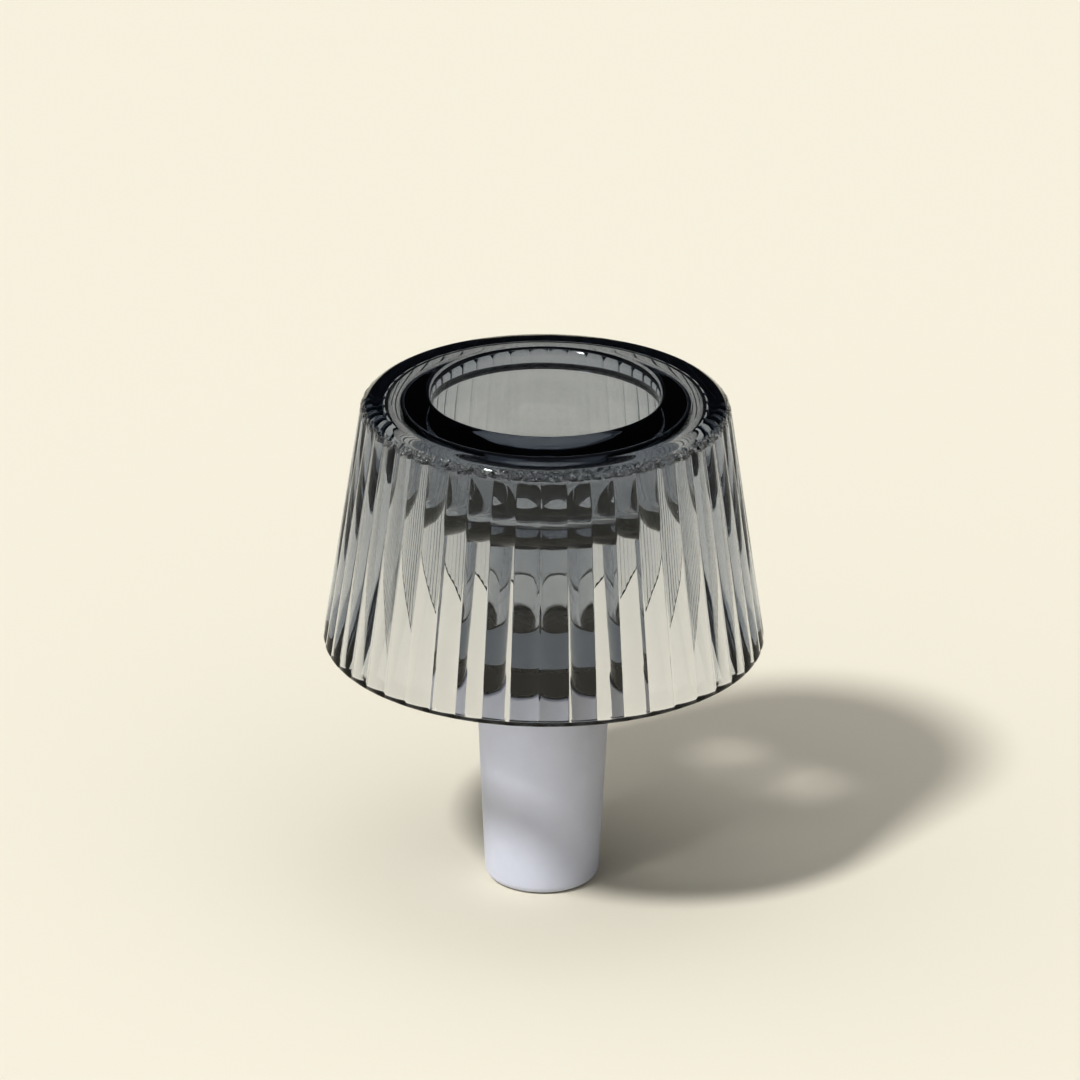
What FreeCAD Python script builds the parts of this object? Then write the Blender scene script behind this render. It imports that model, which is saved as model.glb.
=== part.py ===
import FreeCAD, Part
import os
import Sketcher

# Tealight holder of pressed glass on a soft stopper stem.
#
# Frame: millimetres, +Z up, the symmetry axis on Z and the origin at the centre of the stem's
# flat underside, which is the face that the holder stands on.
#
#   glass_head      reeded skirt, domed roof with the tealight cup hung in it, bored post and
#                   spigot, pressed in one piece
#   stopper_sleeve  soft sleeve over the spigot: the foot, and the plug for a bottle's neck

DRIVING_SIZES = [
    # alias, value (mm, a count or degrees), what it is
    ("ReedCount", 48, "convex reeds round the skirt"),
    ("ReedDepth", 0.55, "reed crest to valley, at the rim"),
    ("CrestLand", 0.02, "height cut off each reed's crest by the turned skirt"),
    ("ReedRunOut", 3, "how far the reed cutter runs past the rim and the shoulder"),
    ("RimHeight", 44, "underside of the rim above the foot"),
    ("RimRadius", 38, "outside of the skirt at the rim"),
    ("RimWall", 2.5, "thickness of the skirt at the rim"),
    ("RimRounding", 1.15, "rounds on both edges of the rim"),
    ("ShoulderRadius", 31.3, "skirt and dome meet here, before the round"),
    ("ShoulderHeight", 88.4, "height of that corner"),
    ("ShoulderRounding", 3.2, "round on the shoulder"),
    ("DomeCrown", 60, "radius of the domed top's curve, across the section"),
    ("LipHeight", 90, "top of the dome, at the cup's edge"),
    ("LipRounding", 1.2, "round on the cup's edge"),
    ("CupRadius", 19.5, "bore of the tealight cup"),
    ("CupDepth", 16.8, "cup floor below the lip"),
    ("CupCorner", 3, "round between the cup's wall and floor"),
    ("BoreRadius", 7.6, "mouth of the bore in the cup's floor, before the round"),
    ("BoreMouthRounding", 1, "round on the bore's mouth"),
    ("BoreEndRadius", 7.2, "bore at its lower end, before the round"),
    ("BoreFloorHeight", 49.6, "lower end of the bore, inside the post"),
    ("BoreEndRounding", 0.8, "round at the bore's lower end"),
    ("RoofHeight", 85.4, "highest part of the hollow, round the cup"),
    ("RoofRadius", 27, "outside of the hollow at its roof, before the round"),
    ("RoofCorner", 1.4, "round between the skirt's inside and the roof"),
    ("CupOuterRadius", 23.5, "outside of the cup's wall at the roof"),
    ("CupRootRounding", 1, "round where the cup's wall leaves the roof"),
    ("BowlRadius", 23.2, "outside of the cup's wall at its foot, before the round"),
    ("BowlBaseHeight", 69.5, "height of that corner"),
    ("BowlRounding", 6, "round under the cup"),
    ("PostRootRadius", 11.6, "post where it leaves the underside of the cup"),
    ("PostRootHeight", 68.5, "underside of the cup, at the post"),
    ("PostRootRounding", 1, "round at the post's root"),
    ("PostFootRadius", 11.1, "post at its step, on top of the sleeve"),
    ("StepHeight", 38.6, "step of the post, on top of the sleeve"),
    ("SpigotTopRadius", 8.7, "spigot under the step"),
    ("SpigotEndRadius", 7.2, "lower end of the spigot"),
    ("SpigotLength", 33.6, "spigot below the step"),
    ("SpigotRounding", 0.8, "round on the spigot's end"),
    ("SpigotClearance", 0.06, "gap between the spigot and the sleeve, each side"),
    ("SocketEndGap", 0.8, "air under the end of the spigot"),
    ("FootHeight", 0, "underside of the foot, on the ground"),
    ("SleeveTopRadius", 11.65, "sleeve at its upper end"),
    ("SleeveFootRadius", 9.8, "sleeve at its foot, before the round"),
    ("FootRounding", 1.7, "round at the sleeve's bottom edge"),
    ("SleeveTopRounding", 0.35, "round at the sleeve's upper edge"),
]

DERIVED_SIZES = [
    # alias, formula, what it is
    ("RimInnerRadius", "=RimRadius - RimWall", "inside of the rim"),
    ("CupFloorHeight", "=LipHeight - CupDepth", "floor of the cup"),
    ("SpigotEndHeight", "=StepHeight - SpigotLength", "lower end of the spigot"),
    ("SocketTopRadius", "=SpigotTopRadius + SpigotClearance", "mouth of the sleeve's socket"),
    ("SocketEndRadius", "=SpigotEndRadius + SpigotClearance", "bottom of the socket"),
    ("SocketEndHeight", "=SpigotEndHeight - SocketEndGap", "floor of the socket"),
    ("SkirtSlope", "=(RimRadius - ShoulderRadius) / (ShoulderHeight - RimHeight)", "inward per mm up"),
    ("HalfPitch", "=180 / ReedCount", "half the angle between two reeds, in degrees"),
    ("CrestRadius", "=RimRadius + CrestLand", "reed crest at the rim, before it is turned off"),
    ("ValleyRadius", "=RimRadius - ReedDepth", "reed valley at the rim"),
    # the reed is an arc through its crest and its valley, so its centre is this far out
    ("ReedCentre", "=(CrestRadius^2 - ValleyRadius^2) / (2 * (CrestRadius - ValleyRadius"
                   " * cos(HalfPitch * 1 deg)))", "centre of a reed's arc from the axis"),
    ("ReedArc", "=CrestRadius - ReedCentre", "radius of a reed's arc at the rim"),
    ("LowHeight", "=RimHeight - ReedRunOut", "height of the cutter's lower section"),
    ("LowScale", "=(RimRadius + SkirtSlope * ReedRunOut) / RimRadius", "its size against the rim"),
    ("HighHeight", "=ShoulderHeight + ReedRunOut", "height of the cutter's upper section"),
    ("HighScale", "=(ShoulderRadius - SkirtSlope * ReedRunOut) / RimRadius", "its size"),
]

CUTTER_REACH = 1.04        # outer edge of the reed cutter, against the crest radius
CUTTER_SHARE = 0.97        # part of the half pitch that the cutter's section covers


def read(name):
    """Value of one cell of the sheet, as a plain number."""
    value = sizes.get(name)
    return float(getattr(value, "Value", value))


def origin_feature(body, role):
    return next(item for item in body.Origin.OriginFeatures if item.Role == role)


def new_sketch(body, name, role):
    sketch = body.newObject("Sketcher::SketchObject", name)
    sketch.AttachmentSupport = (origin_feature(body, role), [""])
    sketch.MapMode = "FlatFace"
    return sketch


def bind(sketch, constraint, formula, name):
    """Add a driving constraint to a sketch and tie its value to the sheet."""
    index = sketch.addConstraint(constraint)
    sketch.renameConstraint(index, name)
    sketch.setExpression("Constraints." + name, formula)


def section_sketch(body, name, corners, crowned=()):
    """Closed half section in the XZ plane from (name, radius alias, height alias) corners.

    A radius alias of None puts the corner on the axis. A corner named in crowned starts an arc
    of the sheet's DomeCrown radius, bulging upwards, and the others start straight lines.
    """
    sketch = new_sketch(body, name, "XZ_Plane")
    places = [
        FreeCAD.Vector(read(radius) if radius else 0, read(height), 0)
        for _, radius, height in corners
    ]
    count = len(corners)
    for number, (corner, _, _) in enumerate(corners):
        start, end = places[number], places[(number + 1) % count]
        edge = Part.LineSegment(start, end)
        if corner in crowned:
            half = (end - start) * 0.5
            crown = read("DomeCrown")
            rise = crown - (crown ** 2 - half.Length ** 2) ** 0.5
            outward = FreeCAD.Vector(half.y, -half.x, 0).normalize()
            edge = Part.Arc(start, start + half + outward * rise, end)
        sketch.addGeometry(edge, False)
    for number, (corner, radius, height) in enumerate(corners):
        before = (number - 1) % count
        sketch.addConstraint(Sketcher.Constraint("Coincident", before, 2, number, 1))
        place = places[number]
        if radius:
            across = Sketcher.Constraint("DistanceX", -1, 1, number, 1, place.x)
            bind(sketch, across, "Sizes." + radius, corner + "Across")
        else:
            sketch.addConstraint(Sketcher.Constraint("PointOnObject", number, 1, -2))
        up = Sketcher.Constraint("DistanceY", -1, 1, number, 1, place.y)
        bind(sketch, up, "Sizes." + height, corner + "Up")
        if corner in crowned:
            bend = Sketcher.Constraint("Radius", number, read("DomeCrown"))
            bind(sketch, bend, "Sizes.DomeCrown", corner + "Crown")
    return sketch


def revolve(body, name, sketch):
    turned = body.newObject("PartDesign::Revolution", name)
    turned.Profile = sketch
    turned.ReferenceAxis = (sketch, ["V_Axis"])
    turned.Angle = 360
    doc.recompute()
    return turned


def ring_edges(feature, radius, height):
    """Names of a feature's circular edges at one radius and height."""
    names = []
    for number, edge in enumerate(feature.Shape.Edges, 1):
        curve = edge.Curve
        if isinstance(curve, Part.Circle) and abs(curve.Radius - radius) < 0.01:
            if abs(curve.Center.z - height) < 0.01:
                names.append("Edge%d" % number)
    return names


def round_rings(body, name, feature, rings, radius_alias):
    """Fillet the circular edges at (radius alias, height alias) rings with one radius."""
    names = []
    for radius, height in rings:
        names += ring_edges(feature, read(radius), read(height))
    fillet = body.newObject("PartDesign::Fillet", name)
    fillet.Base = (feature, names)
    fillet.setExpression("Radius", "Sizes." + radius_alias)
    doc.recompute()
    return fillet


def reed_section(body, name, scale, height):
    """Section of the cutter between two reeds: an arc of each reed, and a box outside them."""
    sketch = new_sketch(body, name, "XY_Plane")
    sketch.setExpression("AttachmentOffset.Base.z", "Sizes." + height)
    size = read(scale)
    rotate = FreeCAD.Rotation(FreeCAD.Vector(0, 0, 1), read("HalfPitch"))
    centre = rotate.multVec(FreeCAD.Vector(read("ReedCentre") * size, 0, 0))
    radius = read("ReedArc") * size
    side = rotate.multVec(FreeCAD.Vector(read("CrestRadius") * size, 0, 0)).y * CUTTER_SHARE
    reach = read("CrestRadius") * size * CUTTER_REACH
    valley = FreeCAD.Vector(read("ValleyRadius") * size, 0, 0)
    edge_x = centre.x + (radius ** 2 - (centre.y - side) ** 2) ** 0.5
    slack_x = centre.x + (radius ** 2 - (centre.y - side / 2) ** 2) ** 0.5
    upper = Part.Arc(valley, FreeCAD.Vector(slack_x, side / 2, 0), FreeCAD.Vector(edge_x, side, 0))
    lower = Part.Arc(FreeCAD.Vector(edge_x, -side, 0), FreeCAD.Vector(slack_x, -side / 2, 0), valley)
    out_up = FreeCAD.Vector(reach, side, 0)
    out_down = FreeCAD.Vector(reach, -side, 0)
    sketch.addGeometry(upper, False)
    sketch.addGeometry(Part.LineSegment(FreeCAD.Vector(edge_x, side, 0), out_up), False)
    sketch.addGeometry(Part.LineSegment(out_up, out_down), False)
    sketch.addGeometry(Part.LineSegment(out_down, FreeCAD.Vector(edge_x, -side, 0)), False)
    sketch.addGeometry(lower, False)
    return sketch


def build_glass_head():
    body = doc.addObject("PartDesign::Body", "glass_head")
    body.Label = "glass_head"
    outline = section_sketch(
        body,
        "HeadSection",
        [
            ("SpigotAxis", None, "SpigotEndHeight"),
            ("SpigotEnd", "SpigotEndRadius", "SpigotEndHeight"),
            ("SpigotTop", "SpigotTopRadius", "StepHeight"),
            ("PostFoot", "PostFootRadius", "StepHeight"),
            ("PostRoot", "PostRootRadius", "PostRootHeight"),
            ("Bowl", "BowlRadius", "BowlBaseHeight"),
            ("CupRoot", "CupOuterRadius", "RoofHeight"),
            ("Roof", "RoofRadius", "RoofHeight"),
            ("RimInside", "RimInnerRadius", "RimHeight"),
            ("RimOutside", "RimRadius", "RimHeight"),
            ("Shoulder", "ShoulderRadius", "ShoulderHeight"),
            ("Lip", "CupRadius", "LipHeight"),
            ("CupFloor", "CupRadius", "CupFloorHeight"),
            ("BoreMouth", "BoreRadius", "CupFloorHeight"),
            ("BoreEnd", "BoreEndRadius", "BoreFloorHeight"),
            ("BoreAxis", None, "BoreFloorHeight"),
        ],
        crowned=("Shoulder",),
    )
    feature = revolve(body, "TurnedHead", outline)
    rounds = [
        ("ShoulderRound", [("ShoulderRadius", "ShoulderHeight")], "ShoulderRounding"),
        ("LipRound", [("CupRadius", "LipHeight")], "LipRounding"),
        ("CupRound", [("CupRadius", "CupFloorHeight")], "CupCorner"),
        ("BoreMouthRound", [("BoreRadius", "CupFloorHeight")], "BoreMouthRounding"),
        ("BoreEndRound", [("BoreEndRadius", "BoreFloorHeight")], "BoreEndRounding"),
        ("RoofRound", [("RoofRadius", "RoofHeight")], "RoofCorner"),
        ("CupRootRound", [("CupOuterRadius", "RoofHeight")], "CupRootRounding"),
        ("BowlRound", [("BowlRadius", "BowlBaseHeight")], "BowlRounding"),
        ("PostRound", [("PostRootRadius", "PostRootHeight")], "PostRootRounding"),
        (
            "RimRound",
            [("RimInnerRadius", "RimHeight"), ("RimRadius", "RimHeight")],
            "RimRounding",
        ),
        ("SpigotRound", [("SpigotEndRadius", "SpigotEndHeight")], "SpigotRounding"),
    ]
    for name, rings, alias in rounds:
        feature = round_rings(body, name, feature, rings, alias)
    low = reed_section(body, "ReedSectionLow", "LowScale", "LowHeight")
    high = reed_section(body, "ReedSectionHigh", "HighScale", "HighHeight")
    smooth_volume = feature.Shape.Volume
    valley = body.newObject("PartDesign::SubtractiveLoft", "ReedValley")
    valley.Profile = low
    valley.Sections = [high]
    valley.Ruled = True
    doc.recompute()
    ring = body.newObject("PartDesign::PolarPattern", "Reeds")
    ring.Originals = [valley]
    ring.Axis = (origin_feature(body, "Z_Axis"), [""])
    ring.Angle = 360
    ring.setExpression("Occurrences", "Sizes.ReedCount")
    body.Tip = ring
    doc.recompute()
    if ring.Shape.Volume > smooth_volume * 0.995:
        raise RuntimeError("the reed valleys cut too little")
    return body


def build_stopper_sleeve():
    body = doc.addObject("PartDesign::Body", "stopper_sleeve")
    body.Label = "stopper_sleeve"
    outline = section_sketch(
        body,
        "SleeveSection",
        [
            ("FootAxis", None, "FootHeight"),
            ("Foot", "SleeveFootRadius", "FootHeight"),
            ("Top", "SleeveTopRadius", "StepHeight"),
            ("Mouth", "SocketTopRadius", "StepHeight"),
            ("SocketEnd", "SocketEndRadius", "SocketEndHeight"),
            ("SocketAxis", None, "SocketEndHeight"),
        ],
    )
    feature = revolve(body, "TurnedSleeve", outline)
    foot = [("SleeveFootRadius", "FootHeight")]
    top = [("SleeveTopRadius", "StepHeight")]
    feature = round_rings(body, "FootRound", feature, foot, "FootRounding")
    round_rings(body, "TopRound", feature, top, "SleeveTopRounding")
    return body


doc = FreeCAD.newDocument("tealight_holder")
sizes = doc.addObject("Spreadsheet::Sheet", "Sizes")
for row, (alias, content, note) in enumerate(DRIVING_SIZES + DERIVED_SIZES, 1):
    sizes.set("A%d" % row, str(content))
    sizes.setAlias("A%d" % row, alias)
    sizes.set("B%d" % row, note)
doc.recompute()

pieces = [build_glass_head(), build_stopper_sleeve()]
doc.recompute()

for item in doc.Objects:
    if "Invalid" in item.State or "Error" in item.State:
        raise RuntimeError("%s failed: %s" % (item.Name, item.State))
for piece in pieces:
    if piece.Shape.isNull() or not piece.Shape.isValid():
        raise RuntimeError("%s has no valid shape" % piece.Label)

os.makedirs("parts", exist_ok=True)
for piece in pieces:
    piece.Shape.exportStep("parts/%s.step" % piece.Label)
    box = piece.Shape.BoundBox
    print("%s: %d solid, %.0f mm3, %.2f x %.2f x %.2f mm" % (
        piece.Label, len(piece.Shape.Solids), piece.Shape.Volume,
        box.XLength, box.YLength, box.ZLength,
    ))
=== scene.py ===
import logging
import math
from dataclasses import dataclass, field
from enum import Enum
from itertools import pairwise

import bmesh
import bpy
from mathutils import Matrix, Vector, noise


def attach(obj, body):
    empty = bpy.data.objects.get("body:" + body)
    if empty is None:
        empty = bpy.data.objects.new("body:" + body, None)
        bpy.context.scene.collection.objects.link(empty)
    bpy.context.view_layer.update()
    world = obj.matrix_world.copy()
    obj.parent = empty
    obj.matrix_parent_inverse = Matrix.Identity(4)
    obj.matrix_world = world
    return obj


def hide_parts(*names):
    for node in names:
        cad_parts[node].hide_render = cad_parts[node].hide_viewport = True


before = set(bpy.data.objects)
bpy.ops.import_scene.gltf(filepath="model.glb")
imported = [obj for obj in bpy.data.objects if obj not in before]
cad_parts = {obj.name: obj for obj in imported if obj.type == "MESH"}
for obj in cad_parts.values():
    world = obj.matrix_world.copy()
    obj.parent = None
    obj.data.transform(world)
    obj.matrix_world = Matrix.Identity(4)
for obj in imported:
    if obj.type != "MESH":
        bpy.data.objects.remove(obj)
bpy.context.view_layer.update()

MM = 0.001                      # one millimetre, in the scene's metres
FULL_TURN = 2.0 * math.pi
AXIS = (0.0, 0.0, 1.0)
CENTRE = (0.0, 0.0, 0.0)
ON_AXIS = 0.01                  # closer to the axis than this, in mm, a point has no direction
WELD = 1e-4                     # vertices closer than this, in mm, are one

log = logging.getLogger("tealight_holder")


class Slot(Enum):
    """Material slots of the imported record."""

    GLASS = "smoky_glass"
    SILICONE = "grey_silicone"


class Body(Enum):
    """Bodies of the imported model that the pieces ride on."""

    HEAD = "head"
    SLEEVE = "sleeve"


# ---------------------------------------------------------------------------------------------
# Turned sections
# ---------------------------------------------------------------------------------------------


@dataclass(frozen=True)
class Corner:
    """One corner of a half section, in millimetres, with its round."""

    radius: float
    height: float
    rounding: float = 0.0
    segments: int = 6


def draw_section(
    mesh: bmesh.types.BMesh, corners: list[Corner], longest_step: float
) -> None:
    """Draw a half section as a wire in the XZ plane, round its corners and cut its long runs.

    Args:
        mesh: The empty mesh that takes the wire, in millimetres.
        corners: The section's corners, in order along the wire.
        longest_step: Longest edge that is left, in millimetres.
    """
    verts = [mesh.verts.new((corner.radius, 0.0, corner.height)) for corner in corners]
    for pair in pairwise(verts):
        mesh.edges.new(pair)
    for corner, vert in zip(corners, verts):
        if corner.rounding > 0.0:
            first, second = (edge.other_vert(vert).co - vert.co for edge in vert.link_edges)
            turn = math.pi - first.angle(second)
            bmesh.ops.bevel(
                mesh,
                geom=[vert],
                affect="VERTICES",
                offset=corner.rounding * math.tan(turn / 2.0),
                offset_type="OFFSET",
                segments=corner.segments,
                profile=0.5,
                clamp_overlap=False,
                material=-1,
            )
    for edge in mesh.edges[:]:
        cuts = math.ceil(edge.calc_length() / longest_step) - 1
        if cuts > 0:
            bmesh.ops.subdivide_edges(mesh, edges=[edge], cuts=cuts)


def turn_section(mesh: bmesh.types.BMesh, steps: int) -> None:
    """Spin a drawn section once round the axis and close it.

    Args:
        mesh: The mesh that holds the section as a wire.
        steps: Facets in the full turn.
    """
    bmesh.ops.spin(
        mesh,
        geom=mesh.verts[:] + mesh.edges[:],
        cent=CENTRE,
        axis=AXIS,
        angle=FULL_TURN,
        steps=steps,
        use_merge=True,
    )
    bmesh.ops.remove_doubles(mesh, verts=mesh.verts, dist=WELD)
    bmesh.ops.recalc_face_normals(mesh, faces=mesh.faces)


def smooth_min(first: float, second: float, blend: float) -> float:
    """The smaller of two lengths, rounded off where they cross.

    Args:
        first: One length.
        second: The other length.
        blend: How far the rounding reaches, in the same unit.

    Returns:
        A length at or a little under the smaller one.
    """
    mix = max(blend - abs(first - second), 0.0) / blend
    return min(first, second) - mix * mix * blend * 0.25


def layered_noise(place: Vector, layers: tuple[tuple[float, float], ...]) -> float:
    """Smooth noise in layers, the same on each run.

    Args:
        place: Where it is read, in millimetres.
        layers: Each layer's weight and its scale per millimetre.

    Returns:
        The weighted sum, about zero.
    """
    return sum(weight * noise.noise(place * scale) for weight, scale in layers)


def finish_mesh(mesh: bmesh.types.BMesh, name: str) -> bpy.types.Object:
    """Bring a millimetre mesh to metres and put it in the scene, smooth shaded.

    Args:
        mesh: The finished mesh, which is freed.
        name: The piece's name.

    Returns:
        The new object, at the origin.
    """
    bmesh.ops.scale(mesh, vec=(MM, MM, MM), verts=mesh.verts)
    for face in mesh.faces:
        face.smooth = True
    data = bpy.data.meshes.new(name)
    mesh.to_mesh(data)
    mesh.free()
    piece = bpy.data.objects.new(name, data)
    bpy.context.scene.collection.objects.link(piece)
    return piece


# ---------------------------------------------------------------------------------------------
# Materials
# ---------------------------------------------------------------------------------------------


def new_material(name: str) -> tuple[bpy.types.Material, bpy.types.NodeTree, bpy.types.Node]:
    """Make an empty node material with its output node.

    Args:
        name: The material's name.

    Returns:
        The material, its node tree and its output node.
    """
    material = bpy.data.materials.new(name)
    material.use_nodes = True
    tree = material.node_tree
    tree.nodes.clear()
    output = tree.nodes.new("ShaderNodeOutputMaterial")
    return material, tree, output


def surface_noise() -> bpy.types.NodeTree:
    """The shared node group that varies a surface: a noise mask on Object coordinates.

    Returns:
        The group, with Scale, Detail, Low and High inputs and a Mask output from 0 to 1.
    """
    name = "surface_noise"
    if name in bpy.data.node_groups:
        return bpy.data.node_groups[name]
    group = bpy.data.node_groups.new(name, "ShaderNodeTree")
    for socket, value in (("Scale", 100.0), ("Detail", 2.0), ("Low", 0.35), ("High", 0.65)):
        entry = group.interface.new_socket(socket, in_out="INPUT", socket_type="NodeSocketFloat")
        entry.default_value = value
    group.interface.new_socket("Mask", in_out="OUTPUT", socket_type="NodeSocketFloat")
    inputs = group.nodes.new("NodeGroupInput")
    outputs = group.nodes.new("NodeGroupOutput")
    place = group.nodes.new("ShaderNodeTexCoord")
    texture = group.nodes.new("ShaderNodeTexNoise")
    spread = group.nodes.new("ShaderNodeMapRange")
    group.links.new(place.outputs["Object"], texture.inputs["Vector"])
    group.links.new(inputs.outputs["Scale"], texture.inputs["Scale"])
    group.links.new(inputs.outputs["Detail"], texture.inputs["Detail"])
    group.links.new(texture.outputs["Fac"], spread.inputs["Value"])
    group.links.new(inputs.outputs["Low"], spread.inputs["From Min"])
    group.links.new(inputs.outputs["High"], spread.inputs["From Max"])
    group.links.new(spread.outputs["Result"], outputs.inputs["Mask"])
    return group


def ring_band() -> bpy.types.NodeTree:
    """The node group that marks a band round the outside of a turned piece.

    Returns:
        The group, with Height, Half Width and Inner Radius inputs and a Mask output.
    """
    group = bpy.data.node_groups.new("ring_band", "ShaderNodeTree")
    for socket in ("Height", "Half Width", "Inner Radius"):
        group.interface.new_socket(socket, in_out="INPUT", socket_type="NodeSocketFloat")
    group.interface.new_socket("Mask", in_out="OUTPUT", socket_type="NodeSocketFloat")
    inputs = group.nodes.new("NodeGroupInput")
    outputs = group.nodes.new("NodeGroupOutput")
    place = group.nodes.new("ShaderNodeTexCoord")
    split = group.nodes.new("ShaderNodeSeparateXYZ")
    flat = group.nodes.new("ShaderNodeCombineXYZ")
    reach = group.nodes.new("ShaderNodeVectorMath")
    reach.operation = "LENGTH"
    outside, offset, distance, both = (group.nodes.new("ShaderNodeMath") for _ in range(4))
    outside.operation = "GREATER_THAN"
    offset.operation = "SUBTRACT"
    distance.operation = "ABSOLUTE"
    both.operation = "MULTIPLY"
    fade = group.nodes.new("ShaderNodeMapRange")
    fade.inputs["To Min"].default_value = 1.0
    fade.inputs["To Max"].default_value = 0.0
    group.links.new(place.outputs["Object"], split.inputs[0])
    group.links.new(split.outputs["X"], flat.inputs["X"])
    group.links.new(split.outputs["Y"], flat.inputs["Y"])
    group.links.new(flat.outputs["Vector"], reach.inputs[0])
    group.links.new(reach.outputs["Value"], outside.inputs[0])
    group.links.new(inputs.outputs["Inner Radius"], outside.inputs[1])
    group.links.new(split.outputs["Z"], offset.inputs[0])
    group.links.new(inputs.outputs["Height"], offset.inputs[1])
    group.links.new(offset.outputs["Value"], distance.inputs[0])
    group.links.new(distance.outputs["Value"], fade.inputs["Value"])
    group.links.new(inputs.outputs["Half Width"], fade.inputs["From Max"])
    group.links.new(fade.outputs["Result"], both.inputs[0])
    group.links.new(outside.outputs["Value"], both.inputs[1])
    group.links.new(both.outputs["Value"], outputs.inputs["Mask"])
    return group


def place_group(
    tree: bpy.types.NodeTree, group: bpy.types.NodeTree, **values: float
) -> bpy.types.Node:
    """Put a node group in a material and set its inputs.

    Args:
        tree: The material's node tree.
        group: The group.
        values: Input values by name, with underscores for spaces.

    Returns:
        The group node.
    """
    node = tree.nodes.new("ShaderNodeGroup")
    node.node_tree = group
    for socket, value in values.items():
        node.inputs[socket.replace("_", " ")].default_value = value
    return node


def add_math(
    tree: bpy.types.NodeTree, operation: str, first: bpy.types.NodeSocket, second: object
) -> bpy.types.NodeSocket:
    """Add a Math node.

    Args:
        tree: The material's node tree.
        operation: The node's operation.
        first: The socket that feeds the first input.
        second: A number or a socket for the second input.

    Returns:
        The node's output.
    """
    node = tree.nodes.new("ShaderNodeMath")
    node.operation = operation
    tree.links.new(first, node.inputs[0])
    if isinstance(second, float):
        node.inputs[1].default_value = second
    else:
        tree.links.new(second, node.inputs[1])
    return node.outputs["Value"]


def add_bump(
    tree: bpy.types.NodeTree, height: bpy.types.NodeSocket, strength: float, distance: float
) -> bpy.types.Node:
    """Add a Bump node over a height.

    Args:
        tree: The material's node tree.
        height: The socket that gives the height.
        strength: The bump's strength.
        distance: Its depth, in metres.

    Returns:
        The Bump node.
    """
    bump = tree.nodes.new("ShaderNodeBump")
    bump.inputs["Strength"].default_value = strength
    bump.inputs["Distance"].default_value = distance
    tree.links.new(height, bump.inputs["Height"])
    return bump


@dataclass(frozen=True)
class SmokyGlass:
    """Clear pressed glass with a smoky grey tint, chill marks and a gritty mould seam."""

    ior: float = 1.5
    tint: tuple[float, float, float] = (0.40, 0.45, 0.53)
    density: float = 140.0              # per metre
    chill_scale: float = 170.0          # chill marks per metre
    chill_depth: float = 0.00004
    grit_scale: float = 1500.0
    grit_depth: float = 0.00028
    seam_height: float = 0.0871
    seam_half_width: float = 0.0009
    seam_radius: float = 0.0285
    seam_roughness: float = 0.35

    def make(self) -> bpy.types.Material:
        """Build the material.

        Returns:
            The glass, tinted through its thickness.
        """
        material, tree, output = new_material("smoky_glass")
        shader = tree.nodes.new("ShaderNodeBsdfPrincipled")
        shader.inputs["Base Color"].default_value = (1.0, 1.0, 1.0, 1.0)
        shader.inputs["Metallic"].default_value = 0.0
        shader.inputs["IOR"].default_value = self.ior
        shader.inputs["Transmission Weight"].default_value = 1.0
        band = place_group(
            tree,
            ring_band(),
            Height=self.seam_height,
            Half_Width=self.seam_half_width,
            Inner_Radius=self.seam_radius,
        )
        chill = place_group(
            tree, surface_noise(), Scale=self.chill_scale, Detail=1.0, Low=0.2, High=0.8
        )
        grit = place_group(
            tree, surface_noise(), Scale=self.grit_scale, Detail=3.0, Low=0.45, High=0.62
        )
        seam = add_math(tree, "MULTIPLY", band.outputs["Mask"], grit.outputs["Mask"])
        rough = add_math(tree, "MULTIPLY", seam, self.seam_roughness)
        ripple = add_bump(tree, chill.outputs["Mask"], 0.5, self.chill_depth)
        gritty = add_bump(tree, seam, 1.0, self.grit_depth)
        tree.links.new(ripple.outputs["Normal"], gritty.inputs["Normal"])
        tree.links.new(rough, shader.inputs["Roughness"])
        tree.links.new(gritty.outputs["Normal"], shader.inputs["Normal"])
        tree.links.new(shader.outputs["BSDF"], output.inputs["Surface"])
        absorb = tree.nodes.new("ShaderNodeVolumeAbsorption")
        absorb.inputs["Color"].default_value = (*self.tint, 1.0)
        absorb.inputs["Density"].default_value = self.density
        tree.links.new(absorb.outputs["Volume"], output.inputs["Volume"])
        return material


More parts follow.
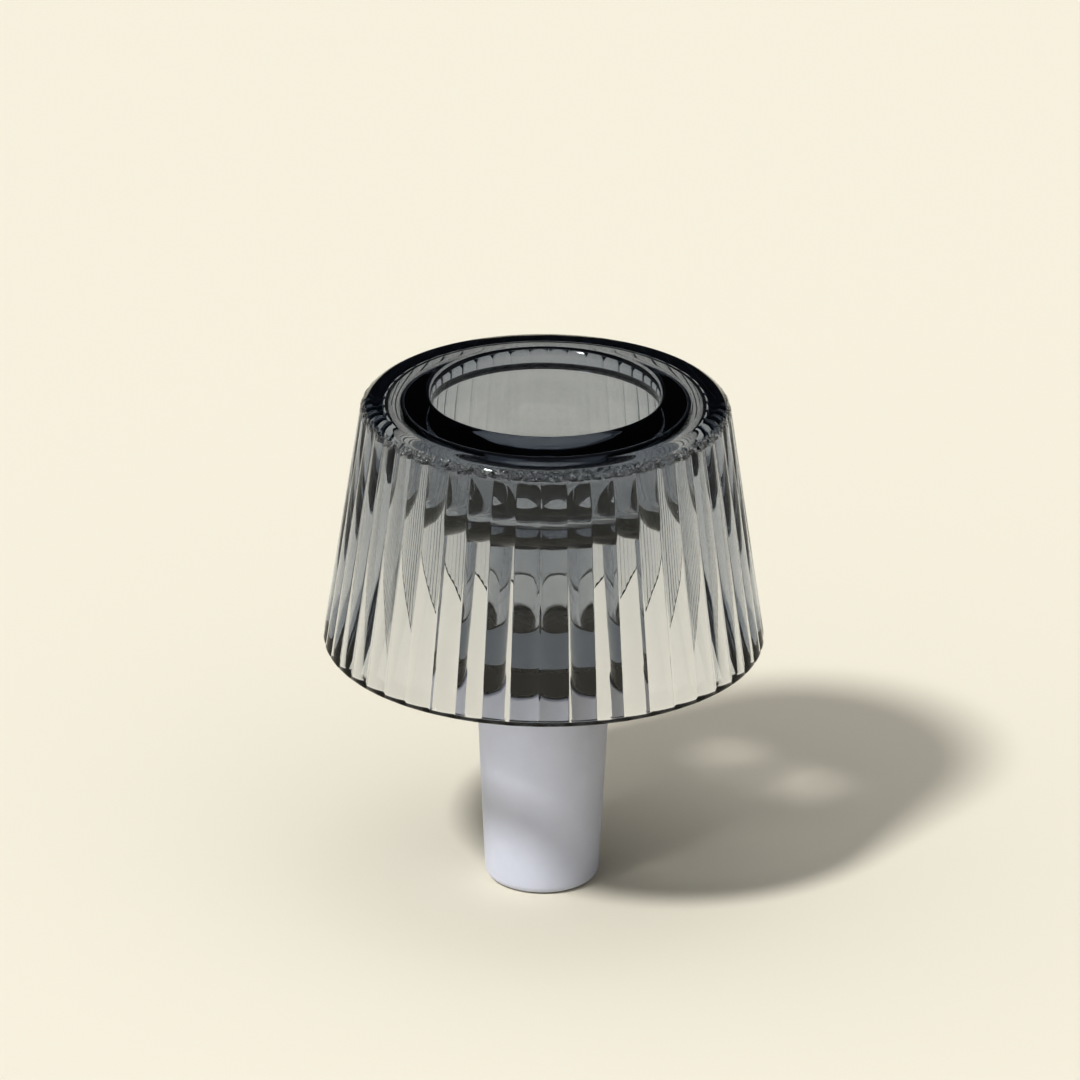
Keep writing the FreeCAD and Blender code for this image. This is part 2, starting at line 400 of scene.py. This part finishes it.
@dataclass(frozen=True)
class GreySilicone:
    """Matt moulded silicone, a cool light grey with a faint bloom and a fine skin."""

    light: tuple[float, float, float] = (0.69, 0.715, 0.82)
    dark: tuple[float, float, float] = (0.62, 0.645, 0.745)
    smooth: float = 0.42
    chalky: float = 0.62
    bloom_scale: float = 70.0
    skin_scale: float = 5200.0
    skin_depth: float = 0.00003

    def make(self) -> bpy.types.Material:
        """Build the material.

        Returns:
            The silicone.
        """
        material, tree, output = new_material("grey_silicone")
        shader = tree.nodes.new("ShaderNodeBsdfPrincipled")
        shader.inputs["IOR"].default_value = 1.43
        shader.inputs["Sheen Weight"].default_value = 0.2
        bloom = place_group(
            tree, surface_noise(), Scale=self.bloom_scale, Detail=4.0, Low=0.3, High=0.7
        )
        skin = place_group(
            tree, surface_noise(), Scale=self.skin_scale, Detail=2.0, Low=0.2, High=0.8
        )
        colour = tree.nodes.new("ShaderNodeMix")
        colour.data_type = "RGBA"
        colour.inputs["A"].default_value = (*self.light, 1.0)
        colour.inputs["B"].default_value = (*self.dark, 1.0)
        rough = tree.nodes.new("ShaderNodeMapRange")
        rough.inputs["To Min"].default_value = self.smooth
        rough.inputs["To Max"].default_value = self.chalky
        fine = add_bump(tree, skin.outputs["Mask"], 0.6, self.skin_depth)
        tree.links.new(bloom.outputs["Mask"], colour.inputs["Factor"])
        tree.links.new(bloom.outputs["Mask"], rough.inputs["Value"])
        tree.links.new(colour.outputs["Result"], shader.inputs["Base Color"])
        tree.links.new(rough.outputs["Result"], shader.inputs["Roughness"])
        tree.links.new(fine.outputs["Normal"], shader.inputs["Normal"])
        tree.links.new(shader.outputs["BSDF"], output.inputs["Surface"])
        return material


# ---------------------------------------------------------------------------------------------
# The glass head
# ---------------------------------------------------------------------------------------------


@dataclass
class GlassHead:
    """Pressed-glass head: reeded skirt, dome, tealight cup, post and spigot. Millimetres."""

    reed_count: int = 48
    reed_depth: float = 0.55
    steps_per_reed: int = 10
    valley_gather: float = 0.6
    rim_height: float = 44.0
    rim_radius: float = 38.0
    rim_wall: float = 2.5
    rim_rounding: float = 1.15
    shoulder_radius: float = 31.3
    shoulder_height: float = 88.4
    shoulder_rounding: float = 3.2
    dome_crown: float = 60.0
    lip_height: float = 90.0
    lip_rounding: float = 1.2
    cup_radius: float = 19.5
    cup_depth: float = 16.8
    cup_corner: float = 3.0
    bore_radius: float = 7.6
    bore_mouth_rounding: float = 1.0
    bore_end_radius: float = 7.2
    bore_floor_height: float = 49.6
    bore_end_rounding: float = 0.8
    roof_height: float = 85.4
    roof_radius: float = 27.0
    roof_corner: float = 1.4
    cup_outer_radius: float = 23.5
    cup_root_rounding: float = 1.0
    bowl_radius: float = 23.2
    bowl_base_height: float = 69.5
    bowl_rounding: float = 6.0
    post_root_radius: float = 11.6
    post_root_height: float = 68.5
    post_root_rounding: float = 1.0
    post_foot_radius: float = 11.1
    post_foot_rounding: float = 0.3
    step_height: float = 38.6
    spigot_top_radius: float = 8.7
    spigot_end_radius: float = 7.2
    spigot_length: float = 33.6
    spigot_rounding: float = 0.8
    longest_step: float = 3.0
    skin_depth: float = 1.6         # how far inside the crests the outer skin is looked for
    reed_blend: float = 0.08        # how softly the reeds run out into the shoulder
    dome_reach: float = 4.0         # how far under the shoulder the domed skin is looked for
    waviness: float = 0.02
    swells: tuple[tuple[float, float], ...] = ((1.0, 0.11), (0.5, 0.23))
    seam_height: float = 87.1
    seam_half_width: float = 0.9
    seam_proud: float = 0.12
    seam_inset: float = 1.0         # how far outside the roof's edge the seam starts
    seam_swells: tuple[tuple[float, float], ...] = ((1.0, 0.9), (0.7, 2.1))
    seam_level: float = 0.55
    finish: SmokyGlass = field(default_factory=SmokyGlass)

    def corners(self) -> list[Corner]:
        """List the half section's corners.

        Returns:
            The corners, from the spigot's end up the outside and down to the bore's floor.
        """
        spigot_end = self.step_height - self.spigot_length
        cup_floor = self.lip_height - self.cup_depth
        inner_rim = self.rim_radius - self.rim_wall
        return [
            Corner(0.0, spigot_end),
            Corner(self.spigot_end_radius, spigot_end, self.spigot_rounding, 4),
            Corner(self.spigot_top_radius, self.step_height),
            Corner(self.post_foot_radius, self.step_height, self.post_foot_rounding, 4),
            Corner(self.post_root_radius, self.post_root_height, self.post_root_rounding, 4),
            Corner(self.bowl_radius, self.bowl_base_height, self.bowl_rounding, 10),
            Corner(self.cup_outer_radius, self.roof_height, self.cup_root_rounding, 5),
            Corner(self.roof_radius, self.roof_height, self.roof_corner, 6),
            Corner(inner_rim, self.rim_height, self.rim_rounding, 6),
            Corner(self.rim_radius, self.rim_height, self.rim_rounding, 6),
            Corner(self.shoulder_radius, self.shoulder_height, self.shoulder_rounding, 16),
            Corner(self.cup_radius, self.lip_height, self.lip_rounding, 8),
            Corner(self.cup_radius, cup_floor, self.cup_corner, 8),
            Corner(self.bore_radius, cup_floor, self.bore_mouth_rounding, 5),
            Corner(self.bore_end_radius, self.bore_floor_height, self.bore_end_rounding, 4),
            Corner(0.0, self.bore_floor_height),
        ]

    def skirt_radius(self, height: float) -> float:
        """Radius of the line of reed crests.

        Args:
            height: Height above the foot.

        Returns:
            The crests' distance from the axis.
        """
        rise = (height - self.rim_height) / (self.shoulder_height - self.rim_height)
        return self.rim_radius + rise * (self.shoulder_radius - self.rim_radius)

    def reed_radius(self, phase: float, height: float) -> float:
        """Radius of the reeded surface.

        Args:
            phase: Place round one reed, from 0 at a valley through 0.5 at the crest to 1.
            height: Height above the foot.

        Returns:
            The surface's distance from the axis.
        """
        half_pitch = math.pi / self.reed_count
        valley = self.rim_radius - self.reed_depth
        reach = 2.0 * (self.rim_radius - valley * math.cos(half_pitch))
        centre = (self.rim_radius**2 - valley**2) / reach
        arc = self.rim_radius - centre
        angle = (phase - 0.5) * 2.0 * half_pitch
        radius = centre * math.cos(angle)
        radius += math.sqrt(arc * arc - (centre * math.sin(angle)) ** 2)
        return radius * self.skirt_radius(height) / self.rim_radius

    def shape_reeds(self, mesh: bmesh.types.BMesh) -> None:
        """Gather the facets at the valleys and press the reeds into the skirt.

        Args:
            mesh: The turned head, in millimetres.
        """
        pitch = FULL_TURN / self.reed_count
        for vert in mesh.verts:
            radius = math.hypot(vert.co.x, vert.co.y)
            if radius < ON_AXIS:
                continue
            turns = math.atan2(vert.co.y, vert.co.x) / pitch
            phase = turns - math.floor(turns)
            gathered = phase - self.valley_gather * math.sin(FULL_TURN * phase) / FULL_TURN
            angle = (math.floor(turns) + gathered) * pitch
            if self.on_outside(radius, vert.co.z):
                reed = self.reed_radius(gathered, vert.co.z)
                radius = smooth_min(radius, reed, self.reed_blend)
            vert.co.x = radius * math.cos(angle)
            vert.co.y = radius * math.sin(angle)

    def on_outside(self, radius: float, height: float) -> bool:
        """Tell whether a point of the plain section is on the skirt's outside or the shoulder.

        Args:
            radius: The point's distance from the axis.
            height: Its height above the foot.

        Returns:
            True on the outer skin.
        """
        skin = self.skirt_radius(height) - self.skin_depth
        return height >= self.rim_height - 0.01 and radius > skin

    def dome_rise(self, mesh: bmesh.types.BMesh) -> None:
        """Crown the top between the shoulder and the lip, as a shallow arc.

        Args:
            mesh: The turned head, in millimetres.
        """
        span = math.hypot(
            self.shoulder_radius - self.cup_radius, self.lip_height - self.shoulder_height
        )
        sag = self.dome_crown - math.sqrt(self.dome_crown**2 - (span / 2.0) ** 2)
        for vert in mesh.verts:
            radius = math.hypot(vert.co.x, vert.co.y)
            along = (self.shoulder_radius - radius) / (self.shoulder_radius - self.cup_radius)
            if 0.0 < along < 1.0 and vert.co.z > self.shoulder_height - self.dome_reach:
                vert.co.z += 4.0 * sag * along * (1.0 - along)

    def ripple(self, mesh: bmesh.types.BMesh) -> None:
        """Give the pressed faces the slight waviness of glass that was chilled by its mould.

        Args:
            mesh: The shaped head, in millimetres.
        """
        mesh.normal_update()
        for vert in mesh.verts:
            vert.co += vert.normal * (layered_noise(vert.co, self.swells) * self.waviness)

    def press_seam(self, mesh: bmesh.types.BMesh) -> None:
        """Raise the uneven seam where the top plate of the mould met the reeded ring.

        Args:
            mesh: The reeded head, in millimetres.
        """
        for vert in mesh.verts:
            radius = math.hypot(vert.co.x, vert.co.y)
            away = abs(vert.co.z - self.seam_height) / self.seam_half_width
            if away < 1.0 and radius > self.roof_radius + self.seam_inset:
                rough = self.seam_level + layered_noise(vert.co, self.seam_swells)
                proud = self.seam_proud * (1.0 - away * away) * rough
                vert.co.x *= 1.0 + proud / radius
                vert.co.y *= 1.0 + proud / radius

    def build(self) -> bpy.types.Object:
        """Build the head.

        Returns:
            The finished piece, riding on the head body.
        """
        mesh = bmesh.new()
        draw_section(mesh, self.corners(), self.longest_step)
        turn_section(mesh, self.reed_count * self.steps_per_reed)
        self.dome_rise(mesh)
        self.shape_reeds(mesh)
        self.press_seam(mesh)
        self.ripple(mesh)
        piece = finish_mesh(mesh, "pressed_glass_head")
        piece.data.materials.append(self.finish.make())
        piece.cycles.is_caustics_caster = True
        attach(piece, Body.HEAD.value)
        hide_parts("glass_head")
        log.info("%s: %d faces", piece.name, len(piece.data.polygons))
        return piece


# ---------------------------------------------------------------------------------------------
# The stopper sleeve
# ---------------------------------------------------------------------------------------------


@dataclass
class StopperSleeve:
    """Moulded silicone sleeve over the spigot, closed at its foot. Millimetres."""

    height: float = 38.6
    foot_radius: float = 9.8
    foot_rounding: float = 1.7
    top_radius: float = 11.65
    top_rounding: float = 0.35
    mouth_rounding: float = 0.2
    socket_top_radius: float = 8.76
    socket_end_radius: float = 7.26
    socket_floor: float = 4.2
    socket_rounding: float = 0.6
    longest_step: float = 4.0
    steps: int = 160
    finish: GreySilicone = field(default_factory=GreySilicone)

    def corners(self) -> list[Corner]:
        """List the half section's corners.

        Returns:
            The corners, from the foot's centre up the outside and down into the socket.
        """
        return [
            Corner(0.0, 0.0),
            Corner(self.foot_radius, 0.0, self.foot_rounding, 10),
            Corner(self.top_radius, self.height, self.top_rounding, 4),
            Corner(self.socket_top_radius, self.height, self.mouth_rounding, 3),
            Corner(self.socket_end_radius, self.socket_floor, self.socket_rounding, 3),
            Corner(0.0, self.socket_floor),
        ]

    def build(self) -> bpy.types.Object:
        """Build the sleeve.

        Returns:
            The finished piece, riding on the sleeve body.
        """
        mesh = bmesh.new()
        draw_section(mesh, self.corners(), self.longest_step)
        turn_section(mesh, self.steps)
        piece = finish_mesh(mesh, "silicone_stopper_sleeve")
        piece.data.materials.append(self.finish.make())
        piece.cycles.is_caustics_receiver = True
        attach(piece, Body.SLEEVE.value)
        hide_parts("stopper_sleeve")
        log.info("%s: %d faces", piece.name, len(piece.data.polygons))
        return piece


# ---------------------------------------------------------------------------------------------
# Studio
# ---------------------------------------------------------------------------------------------


@dataclass
class Studio:
    """Pale floor, soft lights and the camera."""

    floor_radius: float = 4.5
    floor_colour: tuple[float, float, float] = (0.775, 0.738, 0.635)
    backdrop: tuple[float, float, float] = (0.72, 0.68, 0.56)
    ceiling: tuple[float, float, float] = (0.02, 0.02, 0.022)
    band_top: float = -0.02     # sine of the elevation where the pale backdrop ends
    band_fade: float = 0.02     # sine of the elevation where the dark studio starts
    key_direction: tuple[float, float, float] = (-0.414, -0.468, 0.781)
    key_strength: float = 1.68
    key_angle: float = 7.5
    fill_direction: tuple[float, float, float] = (-0.2, -0.3, 1.0)
    fill_strength: float = 1.36
    fill_angle: float = 120.0
    camera_elevation: float = 22.83
    camera_azimuth: float = 1.0
    camera_distance: float = 1.5
    camera_roll: float = 0.45
    frame_width: float = 0.1846
    aim: tuple[float, float, float] = (-0.00077, 0.0, 0.0625)

    def build_floor(self) -> None:
        """Lay the floor disc, which isn't part of the object."""
        mesh = bmesh.new()
        bmesh.ops.create_circle(mesh, cap_ends=True, segments=128, radius=self.floor_radius)
        data = bpy.data.meshes.new("floor")
        mesh.to_mesh(data)
        mesh.free()
        floor = bpy.data.objects.new("floor", data)
        bpy.context.scene.collection.objects.link(floor)
        floor.cycles.is_caustics_receiver = True
        material, tree, output = new_material("pale_floor")
        shader = tree.nodes.new("ShaderNodeBsdfDiffuse")
        shader.inputs["Color"].default_value = (*self.floor_colour, 1.0)
        tree.links.new(shader.outputs["BSDF"], output.inputs["Surface"])
        data.materials.append(material)

    def build_world(self) -> None:
        """Surround the object with a pale backdrop low down and a dark studio above."""
        world = bpy.data.worlds.new("studio")
        world.use_nodes = True
        bpy.context.scene.world = world
        tree = world.node_tree
        tree.nodes.clear()
        output = tree.nodes.new("ShaderNodeOutputWorld")
        back = tree.nodes.new("ShaderNodeBackground")
        place = tree.nodes.new("ShaderNodeTexCoord")
        split = tree.nodes.new("ShaderNodeSeparateXYZ")
        band = tree.nodes.new("ShaderNodeMapRange")
        band.interpolation_type = "SMOOTHSTEP"
        band.inputs["From Min"].default_value = self.band_top
        band.inputs["From Max"].default_value = self.band_fade
        mix = tree.nodes.new("ShaderNodeMix")
        mix.data_type = "RGBA"
        mix.inputs["A"].default_value = (*self.backdrop, 1.0)
        mix.inputs["B"].default_value = (*self.ceiling, 1.0)
        tree.links.new(place.outputs["Generated"], split.inputs[0])
        tree.links.new(split.outputs["Z"], band.inputs["Value"])
        tree.links.new(band.outputs["Result"], mix.inputs["Factor"])
        tree.links.new(mix.outputs["Result"], back.inputs["Color"])
        tree.links.new(back.outputs["Background"], output.inputs["Surface"])

    def add_sun(
        self, name: str, direction: tuple[float, float, float], strength: float, angle: float
    ) -> bpy.types.Object:
        """Add a distant lamp.

        Args:
            name: The lamp's name.
            direction: From the object towards the lamp.
            strength: Irradiance square on to the lamp.
            angle: Its angular size, in degrees.

        Returns:
            The lamp.
        """
        lamp = bpy.data.lights.new(name, "SUN")
        lamp.energy = strength
        lamp.angle = math.radians(angle)
        holder = bpy.data.objects.new(name, lamp)
        holder.rotation_mode = "QUATERNION"
        holder.rotation_quaternion = Vector(direction).to_track_quat("Z", "Y")
        bpy.context.scene.collection.objects.link(holder)
        return holder

    def build_lights(self) -> None:
        """Set the key lamp and the broad fill."""
        key = self.add_sun("key", self.key_direction, self.key_strength, self.key_angle)
        key.data.cycles.is_caustics_light = True
        fill = self.add_sun("fill", self.fill_direction, self.fill_strength, self.fill_angle)
        fill.visible_glossy = False
        fill.visible_transmission = False

    def build_camera(self) -> None:
        """Stand the camera at the viewing angle."""
        azimuth = math.radians(self.camera_azimuth)
        elevation = math.radians(self.camera_elevation)
        back = Vector((
            math.sin(azimuth) * math.cos(elevation),
            -math.cos(azimuth) * math.cos(elevation),
            math.sin(elevation),
        ))
        camera = bpy.data.cameras.new("camera")
        camera.sensor_width = 36.0
        camera.lens = camera.sensor_width * self.camera_distance / self.frame_width
        camera.clip_start, camera.clip_end = 0.05, 20.0
        holder = bpy.data.objects.new("camera", camera)
        holder.location = Vector(self.aim) + back * self.camera_distance
        holder.rotation_mode = "QUATERNION"
        roll = Matrix.Rotation(math.radians(self.camera_roll), 3, "Z").to_quaternion()
        holder.rotation_quaternion = (-back).to_track_quat("-Z", "Y") @ roll
        bpy.context.scene.collection.objects.link(holder)
        bpy.context.scene.camera = holder

    def set_colour(self) -> None:
        """Show colours as they are, and let light pass through many glass faces."""
        scene = bpy.context.scene
        scene.view_settings.view_transform = "Standard"
        scene.view_settings.look = "High Contrast"
        scene.cycles.max_bounces = 32
        scene.cycles.transmission_bounces = 32
        scene.cycles.glossy_bounces = 16
        scene.cycles.transparent_max_bounces = 32

    def build(self) -> None:
        """Set up the whole studio."""
        self.build_floor()
        self.build_world()
        self.build_lights()
        self.build_camera()
        self.set_colour()


def main() -> None:
    """Build the studio and the pieces in order."""
    logging.basicConfig(level=logging.INFO, format="%(name)s: %(message)s")
    Studio().build()
    GlassHead().build()
    StopperSleeve().build()


if __name__ == "__main__":
    main()
